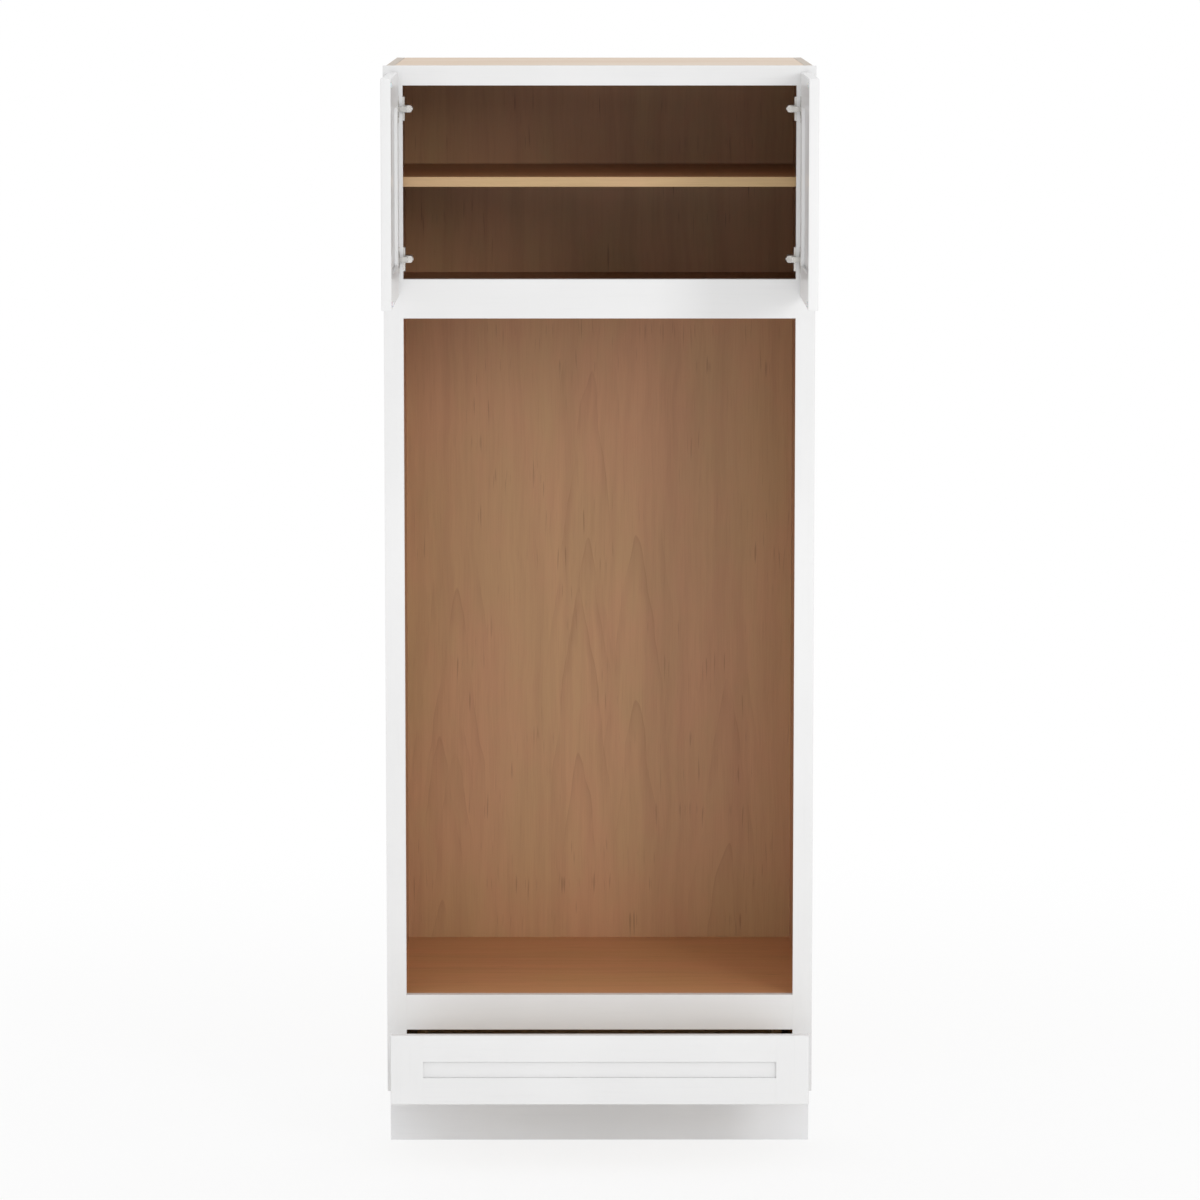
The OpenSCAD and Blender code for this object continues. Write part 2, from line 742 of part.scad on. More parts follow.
module door_hinge_stile() {
    placed() door_open() difference() {
        framed_stile(door_xs, door_ys, door_zs, door_frame_w, door_frame_w, true);
        for (z = hinge_zs) {
            rod_y([cup_x, -bumper_gap - cup_depth, z], cup_r, cup_depth + 1);
            cup_screw_set(z, fit_gap / 2);
        }
    }
}
module door_free_stile() {
    placed() door_open() framed_stile(door_xs, door_ys, door_zs, door_frame_w, door_frame_w, false);
}
module door_rail(high_side) {
    placed() door_open() framed_rail(door_xs, door_ys, door_zs, door_frame_w, door_frame_w, high_side);
}
module door_panel() {
    placed() door_open() framed_panel(door_xs, door_ys, door_zs, door_frame_w, door_frame_w);
}
module door_bumpers() {
    placed() door_open() for (z = [door_z0 + bumper_set, door_z1 - bumper_set])
        rod_y([door_x0 + bumper_set, -bumper_gap, z], bumper_d / 2, bumper_t);
}

module door_hinge_stile_left() { color(PAINT) left_hand() door_hinge_stile(); }
module door_hinge_stile_right() { color(PAINT) door_hinge_stile(); }
module door_free_stile_left() { color(PAINT) left_hand() door_free_stile(); }
module door_free_stile_right() { color(PAINT) door_free_stile(); }
module door_top_rail_left() { color(PAINT) left_hand() door_rail(true); }
module door_top_rail_right() { color(PAINT) door_rail(true); }
module door_bottom_rail_left() { color(PAINT) left_hand() door_rail(false); }
module door_bottom_rail_right() { color(PAINT) door_rail(false); }
module door_panel_left() { color(PAINT) left_hand() door_panel(); }
module door_panel_right() { color(PAINT) door_panel(); }
module door_bumpers_left() { color(RUBBER) left_hand() door_bumpers(); }
module door_bumpers_right() { color(RUBBER) door_bumpers(); }

// Drawer front

front_xs = [-front_half, front_half];
front_ys = [-bumper_gap - door_t, -bumper_gap];
front_zs = [front_z0, front_z1];

module drawer_front_stile(high_side) {
    color(PAINT) placed() drawn_out()
        framed_stile(front_xs, front_ys, front_zs, door_frame_w, drawer_rail_h, high_side);
}
module drawer_front_rail(high_side) {
    color(PAINT) placed() drawn_out() difference() {
        framed_rail(front_xs, front_ys, front_zs, door_frame_w, drawer_rail_h, high_side);
        front_screw_set(fit_gap / 2);
    }
}
module drawer_front_stile_left() { drawer_front_stile(false); }
module drawer_front_stile_right() { drawer_front_stile(true); }
module drawer_front_top_rail() { drawer_front_rail(true); }
module drawer_front_bottom_rail() { drawer_front_rail(false); }
module drawer_front_panel() {
    color(PAINT) placed() drawn_out()
        framed_panel(front_xs, front_ys, front_zs, door_frame_w, drawer_rail_h);
}

// Pan-head screws from inside the box into the lower rail of the front
module front_screw_set(play = 0) {
    for (i = [0 : front_screw_count - 1]) {
        x = i * front_screw_pitch - front_screw_half;
        head_y = box_y0 + box_t + head_h;
        rod_y([x, box_y0 - front_screw_grip - play, front_screw_z], screw_d / 2 + play,
              front_screw_grip + box_t + play);
        difference() {
            rod_y([x, head_y - head_h, front_screw_z], front_screw_head_d / 2, head_h);
            if (play == 0) translate([x, head_y, front_screw_z]) rotate([90, 0, 0]) cross_recess();
        }
    }
}
module drawer_front_screws() { color(STEEL) placed() drawn_out() front_screw_set(); }

module drawer_bumpers() {
    zs = [front_z0 + bumper_set, front_z1 - bumper_set];
    color(RUBBER) placed() drawn_out() for (side = [-1, 1], z = zs)
        rod_y([side * (front_half - bumper_set), -bumper_gap, z], bumper_d / 2, bumper_t);
}

// Drawer box: through dovetails at the four corners, and a bottom in a groove all round

// The tails at the end y0 of a side, which widen towards that end; way is the end's direction
module tails(y0, way, grow = 0) {
    narrow = tail_base / 2 + grow;
    wide = narrow + dovetail_slope * box_t;
    for (i = [0 : tail_count - 1])
        translate([box_half - box_t - grow, 0, box_z0 + (i + 0.5) * tail_pitch])
            rotate([90, 0, 90]) linear_extrude(box_t + 2 * grow)
                polygon([[y0 - way * grow, -wide], [y0 - way * grow, wide],
                         [y0 + way * (box_t + grow), narrow], [y0 + way * (box_t + grow), -narrow]]);
}

// The block that the drawer bottom's groove takes out of the four walls
module bottom_groove() {
    reach = box_half - box_t + box_groove_d;
    board([-reach, reach], [box_y0 + box_t - box_groove_d, box_y1 - box_t + box_groove_d],
          [box_bottom_z - fit_gap, box_bottom_z + box_bottom_t + fit_gap]);
}

module drawer_box_side() {
    placed() drawn_out() difference() {
        union() {
            board([box_half - box_t, box_half], [box_y0 + box_t, box_y1 - box_t], [box_z0, box_z1]);
            tails(box_y0, 1);
            tails(box_y1, -1);
        }
        bottom_groove();
    }
}
module drawer_box_end(y0, way) {
    ys = way > 0 ? [y0, y0 + box_t] : [y0 - box_t, y0];
    color(MAPLE) placed() drawn_out() difference() {
        board([-box_half, box_half], ys, [box_z0, box_z1]);
        for (side = [0, 1]) mirror([side, 0, 0]) tails(y0, way, fit_gap);
        bottom_groove();
        if (way > 0) front_screw_set(fit_gap / 2);
    }
}
module drawer_box_front() { drawer_box_end(box_y0, 1); }
module drawer_box_back() { drawer_box_end(box_y1, -1); }
module drawer_box_side_left() { color(MAPLE) left_hand() drawer_box_side(); }
module drawer_box_side_right() { color(MAPLE) drawer_box_side(); }
module drawer_bottom() {
    let_in = box_t - box_groove_d + fit_gap;
    reach = box_half - let_in;
    color(VENEER) placed() drawn_out()
        board([-reach, reach], [box_y0 + let_in, box_y1 - let_in],
              [box_bottom_z, box_bottom_z + box_bottom_t]);
}

// Slides: three members that telescope on balls in rolled races

// Sets a section in u and v on the right-hand stile's plane and runs it to the back
module slide_run(y0, l) {
    translate([bay_half, y0 + l, slide_z]) rotate([90, 0, 0]) mirror([1, 0, 0])
        linear_extrude(l) children();
}

module race_cut(u, v) {
    for (end = [-1, 1]) translate([u, end * v]) circle(race_r);
}

// A web from u0 to u1 with a lip of the given thickness at each end that reaches to lip_u
module channel_profile(u0, u1, lip_u, v, lip) {
    lip_lo = min(u0, lip_u);
    lip_hi = max(u1, lip_u);
    translate([u0, -v]) square([u1 - u0, 2 * v]);
    for (low = [-v, v - lip]) translate([lip_lo, low]) square([lip_hi - lip_lo, lip]);
}

module slide_cabinet() {
    placed() slide_run(slide_y0, slide_l) difference() {
        channel_profile(0, slide_sheet, outer_u + lip_past_race, slide_h / 2, outer_lip);
        race_cut(outer_u, outer_v);
    }
}
module slide_middle() {
    placed() drawn_out(1 / 2) slide_run(slide_y0, slide_l) difference() {
        channel_profile(middle_u, middle_u + slide_sheet, inner_u + lip_past_race, middle_v, middle_lip);
        race_cut(outer_u, outer_v);
        race_cut(inner_u, inner_v);
    }
}
module slide_drawer() {
    placed() drawn_out() slide_run(slide_y0, slide_l) difference() {
        channel_profile(slide_w - slide_sheet, slide_w, inner_u - lip_past_race, drawer_v, inner_lip);
        race_cut(inner_u, inner_v);
    }
}

// A strip that keeps one row of balls evenly apart, above and below the middle
module cage(u, v) {
    slide_run(cage_y0, cage_l) for (end = [-1, 1])
        translate([u, end * v]) square([cage_w, cage_t], center = true);
    for (end = [-1, 1], i = [0 : ball_count - 1])
        translate([bay_half - u, cage_y0 + cage_end + i * ball_pitch, slide_z + end * v]) sphere(ball_r);
}

module outer_ball_cages() {
    color(BRIGHT) placed() drawn_out(1 / 4) for (side = [0, 1]) mirror([side, 0, 0]) cage(outer_u, outer_v);
}
module inner_ball_cages() {
    color(BRIGHT) placed() drawn_out(3 / 4) for (side = [0, 1]) mirror([side, 0, 0]) cage(inner_u, inner_v);
}

module slide_cabinet_left() { color(STEEL) left_hand() slide_cabinet(); }
module slide_cabinet_right() { color(STEEL) slide_cabinet(); }
module slide_middle_left() { color(STEEL) left_hand() slide_middle(); }
module slide_middle_right() { color(STEEL) slide_middle(); }
module slide_drawer_left() { color(STEEL) left_hand() slide_drawer(); }
module slide_drawer_right() { color(STEEL) slide_drawer(); }

// Blocks that bring the slides out from the side panels to the edge of the stiles
module slide_spacers() {
    y_ends = [frame_t, slide_y0 + slide_l];
    color(MAPLE) placed() for (side = [0, 1]) mirror([side, 0, 0])
        board([bay_half, side_in - fit_gap], y_ends, [slide_z - slide_h / 2, slide_z + slide_h / 2]);
}

side_panel_left();
side_panel_right();
top_panel();
upper_deck();
oven_deck();
bottom_panel();
back_panel();
toe_kick_board();
toe_kick_skin();
rear_base_rail();
oven_deck_cleats();
stile_left();
stile_right();
top_rail();
upper_rail();
lower_rail();
bottom_rail();
shelf();
shelf_edge_band();
shelf_pins();
slide_spacers();
slide_cabinet_left();
slide_cabinet_right();
hinge_plates();
hinge_arms();
plate_screws();
door_hinge_stile_left();
door_hinge_stile_right();
door_free_stile_left();
door_free_stile_right();
door_top_rail_left();
door_top_rail_right();
door_bottom_rail_left();
door_bottom_rail_right();
door_panel_left();
door_panel_right();
hinge_cups_left();
hinge_cups_right();
hinge_fasteners_left();
hinge_fasteners_right();
door_bumpers_left();
door_bumpers_right();
drawer_front_stile_left();
drawer_front_stile_right();
drawer_front_top_rail();
drawer_front_bottom_rail();
drawer_front_panel();
drawer_box_front();
drawer_box_back();
drawer_box_side_left();
drawer_box_side_right();
drawer_bottom();
drawer_front_screws();
drawer_bumpers();
slide_drawer_left();
slide_drawer_right();
slide_middle_left();
slide_middle_right();
outer_ball_cages();
inner_ball_cages();
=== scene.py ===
# %% [markdown]
# # A tall kitchen cabinet for a double wall oven
#
# This lesson dresses the exact solids of a tall white cabinet: a shelf compartment with two
# doors at the top, an open bay for the ovens, a shallow drawer, and a recessed toe kick.
# The solids come in first and never move. Each board and each formed piece of metal is then
# replaced by a copy of its solid with rounded edges. The rest keep their exact shape and only
# get a finish.

import bmesh
import bpy
import math
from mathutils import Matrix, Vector


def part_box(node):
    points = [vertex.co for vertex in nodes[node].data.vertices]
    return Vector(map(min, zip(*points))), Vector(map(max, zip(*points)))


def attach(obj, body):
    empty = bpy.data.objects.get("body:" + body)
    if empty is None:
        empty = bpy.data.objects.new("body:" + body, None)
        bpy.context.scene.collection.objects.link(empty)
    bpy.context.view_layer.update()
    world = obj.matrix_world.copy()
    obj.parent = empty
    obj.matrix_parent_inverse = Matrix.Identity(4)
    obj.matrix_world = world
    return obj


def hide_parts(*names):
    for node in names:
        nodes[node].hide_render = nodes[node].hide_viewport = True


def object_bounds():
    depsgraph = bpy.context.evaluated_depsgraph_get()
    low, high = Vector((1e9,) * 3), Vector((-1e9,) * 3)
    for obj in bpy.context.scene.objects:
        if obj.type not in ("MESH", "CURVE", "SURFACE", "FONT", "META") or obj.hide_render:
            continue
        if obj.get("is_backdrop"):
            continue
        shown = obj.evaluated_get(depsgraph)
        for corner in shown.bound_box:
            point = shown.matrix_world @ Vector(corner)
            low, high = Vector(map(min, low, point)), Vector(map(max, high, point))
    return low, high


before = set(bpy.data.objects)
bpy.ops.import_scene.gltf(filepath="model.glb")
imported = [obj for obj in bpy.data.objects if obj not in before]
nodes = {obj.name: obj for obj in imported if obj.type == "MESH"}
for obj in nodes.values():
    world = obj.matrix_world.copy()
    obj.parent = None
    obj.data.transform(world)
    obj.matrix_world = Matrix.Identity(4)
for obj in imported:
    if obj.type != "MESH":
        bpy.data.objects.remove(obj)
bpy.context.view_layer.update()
print(len(nodes), "solids in the frame")

# %% [markdown]
# ## Camera
#
# The cabinet is photographed from about ten metres with a long lens, from a little above its
# top, so the top boards just show and the floor of the oven bay opens up. A level camera with
# a strong shift would keep the uprights exactly parallel, but then no other view would be
# centred. A camera that looks down by seven degrees with a small shift is the fair middle way.
# A cabinet maker measures from the face of the frame, and so does the camera's distance.

# %% Set up the camera
SENSOR_WIDTH = 36
SIGHT = 500
ASIDE, DISTANCE, HEIGHT = -0.0148, 10.287, 2.4145


def place_camera(position, pitch, yaw, lens, shift_y):
    """A camera that looks along +Y, turned down by pitch and to the right by yaw, in degrees."""
    data = bpy.data.cameras.new("camera")
    data.lens = lens
    data.sensor_width = SENSOR_WIDTH
    data.shift_y = shift_y
    data.clip_end = SIGHT
    camera = bpy.data.objects.new("camera", data)
    camera.location = position
    camera.rotation_euler = (math.radians(90 - pitch), 0, math.radians(-yaw))
    bpy.context.scene.collection.objects.link(camera)
    bpy.context.scene.camera = camera
    return camera


face_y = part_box("upper_rail")[0].y
camera = place_camera((ASIDE, face_y - DISTANCE, HEIGHT), pitch=7.059, yaw=0.087, lens=159.15,
                      shift_y=-0.02)
print("camera", DISTANCE, "m in front of the frame's face, lens", round(camera.data.lens, 2), "mm")

# %% [markdown]
# ## Shader maths as plain expressions
#
# A finish is a small formula: streaks times a tint plus a stain. Wiring Math nodes by hand
# hides that formula, so one class wraps a socket and lets Python's own operators add the
# nodes.

# %% Wrap a socket
class Wire:
    """A number, colour or vector on its way through the nodes of one finish."""

    def __init__(self, finish, socket):
        self.finish = finish
        self.socket = socket

    def _maths(self, operation, *values):
        return self.finish.node("Math", {"operation": operation}, dict(enumerate(values)))

    def __add__(self, other):
        return self._maths("ADD", self, other)

    def __sub__(self, other):
        return self._maths("SUBTRACT", self, other)

    def __rsub__(self, other):
        return self._maths("SUBTRACT", other, self)

    def __mul__(self, other):
        return self._maths("MULTIPLY", self, other)

    def __pow__(self, other):
        return self._maths("POWER", self, other)

    def __gt__(self, other):
        return self._maths("GREATER_THAN", self, other)

    def __abs__(self):
        return self._maths("ABSOLUTE", self)

    def fraction(self):
        return self._maths("FRACT", self)

    __radd__ = __add__
    __rmul__ = __mul__


print("a Wire can", [key.strip("_") for key, value in vars(Wire).items() if callable(value)])

# %% [markdown]
# ## One way to make a node
#
# Every other node comes from a single method, which sets its options first and then fills its
# sockets with values or links. A noise, a smooth step, a blend of two colours and a bump are
# used in nearly every finish, so each has a short name of its own. A room's light is built from
# nodes as well, so the same class can fill a world in place of a material.

# %% Make nodes in one way
class Finish:
    """A material, or the light of a world, built node by node up to its surface."""

    def __init__(self, name, world=None):
        self.owner = world or bpy.data.materials.new(name)
        self.owner.use_nodes = True
        self.nodes = self.owner.node_tree.nodes
        self.links = self.owner.node_tree.links
        self.nodes.clear()

    def node(self, kind, settings=None, inputs=None, out=0):
        """Adds a node: its settings first, then its sockets, by name or number."""
        made = self.nodes.new("ShaderNode" + kind)
        for key, value in (settings or {}).items():
            setattr(made, key, value)
        for key, value in (inputs or {}).items():
            if isinstance(value, Wire):
                self.links.new(value.socket, made.inputs[key])
            else:
                made.inputs[key].default_value = value
        return Wire(self, made.outputs[out]) if made.outputs else made

    def split(self, vector):
        """The X, Y and Z of a vector."""
        parts = self.node("SeparateXYZ", inputs={0: vector})
        return [Wire(self, socket) for socket in parts.socket.node.outputs]

    def place(self):
        """X, Y and Z of a point on the object."""
        return self.split(self.node("TexCoord", out="Object"))

    def vector(self, x, y, z):
        return self.node("CombineXYZ", inputs={0: x, 1: y, 2: z})

    def noise(self, at, scale=1.0, detail=2.0, roughness=0.5):
        return self.node("TexNoise", {"noise_dimensions": "3D"},
                         {"Vector": at, "Scale": scale, "Detail": detail, "Roughness": roughness})

    def ramp(self, value, low, high, low_out=0.0, high_out=1.0):
        """A smooth step from low_out at low to high_out at high."""
        return self.node("MapRange", {"interpolation_type": "SMOOTHSTEP"},
                         {0: value, 1: low, 2: high, 3: low_out, 4: high_out})

    def blend(self, share, first, second):
        """The first colour where share is 0, the second where it is 1."""
        return self.node("Mix", {"data_type": "RGBA"}, {0: share, 6: first, 7: second}, out=2)

    def bump(self, height, distance, strength):
        return self.node("Bump", inputs={"Height": height, "Distance": distance,
                                         "Strength": strength})

    def surface(self, **sockets):
        """Ends in a Principled surface. Underscores stand for the spaces of a socket's name."""
        named = {key.replace("_", " "): value for key, value in sockets.items()}
        self.node("OutputMaterial", inputs={"Surface": self.node("BsdfPrincipled", inputs=named)})
        return self.owner


print("a Finish can", [key for key in vars(Finish) if not key.startswith("_")])

# %% [markdown]
# ## Colours as a picture shows them
#
# A colour picked from a picture is a screen value from 0 to 255. Shaders count light, in which
# a screen value of half is only about a fifth, so each colour is turned into light once, here.

# %% Turn screen colours into light
def colour(red, green, blue):
    """A screen colour, 0 to 255 each, as the linear values that shaders use."""
    shown = (red / 255, green / 255, blue / 255)
    linear = [v / 12.92 if v <= 0.04045 else ((v + 0.055) / 1.055) ** 2.4 for v in shown]
    return (*linear, 1.0)


print("a mid grey of 128 is", round(colour(128, 128, 128)[0], 3), "in linear light")

# %% [markdown]
# ## White paint
#
# The frame, doors and drawer front are maple under a sprayed semi-gloss lacquer. It is almost
# white, yet never one flat value: the film is a touch thinner and warmer in places, the wood's
# grain telegraphs through as faint lines along each board, and sprayed paint has a soft orange
# peel. The grain could be a picture, but a stretched noise gives it at any scale. A thin coat
# on top keeps one crisp layer of gloss, so a door seen edge-on mirrors what is behind it. The
# toe kick's skin is a separate strip in a brighter, cooler white. That white is painted light: it
# lifts the shade under the drawer and cancels the warm light bounced onto the skin.

# %% Mix the paint, with its grain along a chosen axis
GRAIN_ALONG, GRAIN_ACROSS = 7, 190
ORANGE_PEEL = 520


def paint(name, along, white=(236, 236, 236)):
    """Semi-gloss white on a board whose grain runs along axis 0, 1 or 2."""
    f = Finish(name)
    at = f.place()
    stretched = [axis * (GRAIN_ALONG if i == along else GRAIN_ACROSS) for i, axis in enumerate(at)]
    grain = f.noise(f.vector(*stretched), detail=3, roughness=0.6)
    cloud = f.noise(f.vector(*at), scale=4, detail=2)
    peel = f.noise(f.vector(*at), scale=ORANGE_PEEL, detail=1)
    handled = f.noise(f.vector(*at), scale=9, detail=2)
    thin = [value - 3 for value in white]
    pore = [value - 10 for value in white]
    tint = f.blend(f.ramp(cloud, 0.3, 0.7), colour(*white), colour(*thin))
    tint = f.blend(f.ramp(grain, 0.5, 0.8, 0, 0.25), tint, colour(*pore))
    height = grain * 0.5 + peel * 0.5
    worn = 0.42 + 0.06 * f.ramp(handled, 0.35, 0.7)
    return f.surface(Base_Color=tint, Roughness=worn, IOR=1.5, Coat_Weight=0.3, Coat_Roughness=0.1,
                     Normal=f.bump(height, 0.00002, 0.3))


paint_upright = paint("white_paint_upright", along=2)
paint_level = paint("white_paint_level", along=0)
paint_swung = paint("white_paint_door_rail", along=1)
# The toe kick's skin is whiter and cooler than the frame. This is painted light that lifts the
# shade under the drawer and the warm bounce on it.
white_lifted_against_shade = paint("white_lifted_against_shade", along=0, white=(244, 245, 247))
print("four whites: boards that stand, lie across or lie front to back, and the toe kick's skin")

# %% [markdown]
# ## Maple veneer
#
# Flat-sliced maple shows nested arches between bands of straight fine grain. The arches are the
# growth rings of a trunk that tapers, cut by a flat knife. A ring that meets the face at a
# distance d from the middle of the arch lies where sqrt(d * d + depth * depth) + taper * height
# stays the same, so one formula draws a whole nest, and each ring is a thin dark line. A nest
# fades out downwards and to its sides.

# %% Draw one nest of arches
ARCH_DEPTH = 0.012
ARCHES_ACROSS = 24
ARCHES_ALONG = 2.9


def nest_of_arches(f, up, middle, top, length):
    """Thin dark ring lines below an arch's top, fading out along its length and to its sides."""
    reach = abs(middle)
    slope = (reach * reach + ARCH_DEPTH ** 2) ** 0.5 - ARCH_DEPTH
    ring = (slope * ARCHES_ACROSS + (up - top) * ARCHES_ALONG + 0.02).fraction()
    soft, crisp = f.ramp(ring, 0.6, 0.99), f.ramp(ring, 0.93, 0.99)
    line = (soft * 0.6 + crisp * 0.4) * f.ramp(ring, 1.0, 0.99)
    window = f.ramp(up, top - length, top - 0.5 * length) * f.ramp(up, top + 0.02, top - 0.02)
    return line * window * f.ramp(reach, 0.085, 0.035)


print("an arch is", round(1000 / ARCHES_ALONG), "mm below the next one")

# %% [markdown]
# ## Nests, bands and flecks
#
# The nests are placed one by one, because a maker picks the sheets for them, and a slow noise
# makes them wander. Between them run faint bands and a fine fibre. The colour drifts between
# pinkish and olive tan, and small dark flecks lie along the grain. Dark lines in maple are
# redder than the wood around them, so every dark tone is a share of the light one, with less
# blue left in it than red.

# %% Grow the veneer
LATE_SHARE = (0.71, 0.63, 0.57)
FLECK_SHARE = (0.49, 0.39, 0.33)
NEST_LENGTH = 0.8


def darker(tone, share):
    """A tone with each of its channels lowered by a share."""
    return colour(*(value * part for value, part in zip(tone, share)))


def veneer(f, up, over, deep, arches, tones, figure):
    """Colour, bump height and fibre of a face, at a point up its grain, over it and deep in it."""
    dark = darker(tones[0], LATE_SHARE)
    sway = f.noise(f.vector(over * 5, up * 3.2, deep * 3), detail=3, roughness=0.55) - 0.5
    late = 0
    for middle, top in arches:
        late = nest_of_arches(f, up, over - middle + sway * 0.05, top, NEST_LENGTH) + late
    gaps = f.noise(f.vector(over * 24, up * 7, deep * 9), detail=2)
    late = late * f.ramp(gaps, 0.38, 0.62, 0.2, 1)
    fibre = f.noise(f.vector(over * 420, up * 8, deep * 300), detail=3, roughness=0.7)
    band = f.noise(f.vector(over * 34 + sway * 1.5, up * 1.3, deep * 9), detail=4, roughness=0.65)
    patch = f.noise(f.vector(over * 8, up * 3.4, deep * 3 + 7), detail=3, roughness=0.6)
    spot = f.noise(f.vector(over * 240, up * 13, deep * 60), detail=0)
    rare = f.noise(f.vector(over * 11, up * 4, deep * 4 + 2), detail=1)
    fleck = f.ramp(spot, 0.69, 0.82) * f.ramp(rare, 0.45, 0.6)
    tint = f.blend(f.ramp(patch, 0.3, 0.7), colour(*tones[0]), colour(*tones[1]))
    tint = f.blend(f.ramp(band, 0.35, 0.75, 0, 0.22), tint, dark)
    tint = f.blend(late * figure, tint, dark)
    tint = f.blend(f.ramp(fibre, 0.45, 0.8, 0, 0.16), tint, dark)
    tint = f.blend(fleck * 0.33, tint, darker(tones[0], FLECK_SHARE))
    return tint, fibre * 0.7 + late * 0.3, fibre


print("late wood keeps", LATE_SHARE, "of the wood's red, green and blue")

# %% [markdown]
# ## Cuts of maple
#
# The same wood is cut in many ways: veneer with its grain upright on the back, or running across
# on the decks, and solid strips on the shelf and the drawer box. Where a board's face looks
# along the grain, it is a sawn end, which drinks more finish and shows darker pores and rings.
# The faces nobody sees, the rear of the back panel and the undersides of the decks, get no
# finish at all and stay pale. A face is told by the direction of its normal, so one material
# serves a whole board.

# %% Cut the maple
WARM = ((197, 148, 108), (191, 151, 106))
RAW_MAPLE = (231, 213, 189)
SQUARE_ON = 0.7


def maple(name, along, across, arches=((-0.2, 0.1), (0.1, 0.3)), shift=0.0, tones=WARM, figure=0.3,
          bare=None):
    """Clear-finished maple. along and across are the axes of its face, and arches says where their
    tops are. bare is the axis and sign of a direction in which a face has no finish."""
    f = Finish(name)
    at = f.place()
    deep = at[3 - along - across] + shift
    tint, height, fibre = veneer(f, at[along], at[across], deep, arches, tones, figure)
    facing = f.split(f.node("NewGeometry", out="Normal"))
    pores = f.noise(f.vector(*at), scale=900, detail=2)
    growth = (f.noise(f.vector(*at), scale=16, detail=1) * 22).fraction()
    drunk = f.ramp(pores, 0.4, 0.6) * 0.5 + growth * 0.35
    sawn = f.blend(drunk, tint, darker(tones[0], LATE_SHARE))
    tint = f.blend((abs(facing[along]) > SQUARE_ON) * 0.8, tint, sawn)
    if bare:
        axis, sign = bare
        tint = f.blend((facing[axis] * sign > SQUARE_ON) * 0.72, tint, colour(*RAW_MAPLE))
    return f.surface(Base_Color=tint, Roughness=0.34 + 0.12 * fibre, IOR=1.45,
                     Normal=f.bump(height, 0.00003, 0.6))


back_nests = ((-0.300, 1.05), (-0.036, 1.05), (0.079, 1.16), (-0.019, 1.50), (0.26, 0.86),
              (-0.33, 0.74))
maple_back = maple("maple_back", along=2, across=0, arches=back_nests, bare=(1, 1))
maple_deck = maple("maple_deck", along=0, across=1, shift=0.31, figure=0.15, bare=(2, -1),
                   tones=((208, 150, 106), (204, 153, 104)))
# The shelf and the upper deck get darker tones than the oven's deck. These tones are painted shade
# for the dim shelf compartment.
maple_darkened_for_shade = maple("maple_darkened_for_shade", along=0, across=1, shift=0.9, figure=0.2,
                    tones=((176, 124, 88), (170, 125, 84)))
maple_edge = maple("maple_edge", along=0, across=2, arches=((1.5, 0.1),), shift=0.4,
                   tones=((198, 163, 122), (192, 163, 116)))
box_tones = ((232, 212, 186), (227, 210, 180))
maple_front = maple("maple_front", along=0, across=2, arches=((0.17, 0.2),), shift=0.6,
                    tones=box_tones)
maple_run = maple("maple_run", along=1, across=2, arches=((0.2, 0.1),), shift=0.1, tones=box_tones)
print("six cuts of maple")

# %% [markdown]
# ## Raw top boards
#
# Nobody sees the top of a tall cabinet, so its boards are left pale and unfinished, and so is
# the thin bottom of the drawer. The same maple grows on them, lighter, duller and with far less
# contrast. The top panel's underside is the ceiling of the shelf compartment, so it gets the
# same veneer as the walls there.

# %% Leave the top raw
INSIDE = ((193, 147, 117), (187, 150, 112))


def raw_board(name, along, across, base, shift=0.0, ceiling=False):
    """Pale sanded wood with no finish on it. A ceiling is veneered on its underside."""
    f = Finish(name)
    at = f.place()
    up = at[along] + shift
    over = at[across]
    fibre = f.noise(f.vector(over * 330, up * 6, 0.5), detail=3, roughness=0.7)
    cloud = f.noise(f.vector(over * 7, up * 1.2, 0.2), detail=3)
    red, green, blue = base
    tint = f.blend(f.ramp(cloud, 0.3, 0.7), colour(*base), colour(red - 5, green - 9, blue - 13))
    dark = colour(red - 34, green - 42, blue - 48)
    tint = f.blend(f.ramp(fibre, 0.45, 0.8, 0, 0.3), tint, dark)
    dull = 0.62 + 0.15 * fibre
    if ceiling:
        below = (f.split(f.node("NewGeometry", out="Normal"))[2] * -1) > SQUARE_ON
        wood = veneer(f, up, over, at[2], ((0.1, 0.3),), INSIDE, figure=0.2)[0]
        tint = f.blend(below, tint, wood)
        dull = dull - 0.25 * below
    return f.surface(Base_Color=tint, Roughness=dull, IOR=1.4,
                     Normal=f.bump(fibre, 0.00008, 0.8))


raw_top = raw_board("raw_top", 0, 1, (234, 217, 200), ceiling=True)
raw_end = raw_board("raw_rail", 0, 1, (214, 196, 172), shift=3.1)
thin_bottom = raw_board("drawer_bottom_face", 1, 0, (239, 226, 207), shift=0.4)
print("raw boards:", raw_top.name, raw_end.name, "and", thin_bottom.name)

# %% [markdown]
# ## One side panel, three faces
#
# A side panel is painted outside, veneered inside and raw on its edges. It stays one solid, so
# the finish itself has to know which face it is on. Its place across the cabinet says that: the
# outermost skin is paint, the top skin is the raw edge, and the rest is veneer. Two masks blend
# the colour and the gloss. The planes are read from the solids, so a changed size in the source
# moves the masks with it. On the raw edge the plies of the board show as thin lines.

# %% Finish the side panels by where a point lies
MM = 0.001
SKIN = 0.4 * MM
PLIES_PER_METRE = 380
side_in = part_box("side_panel_right")[0].x
side_out, _, side_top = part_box("side_panel_right")[1]


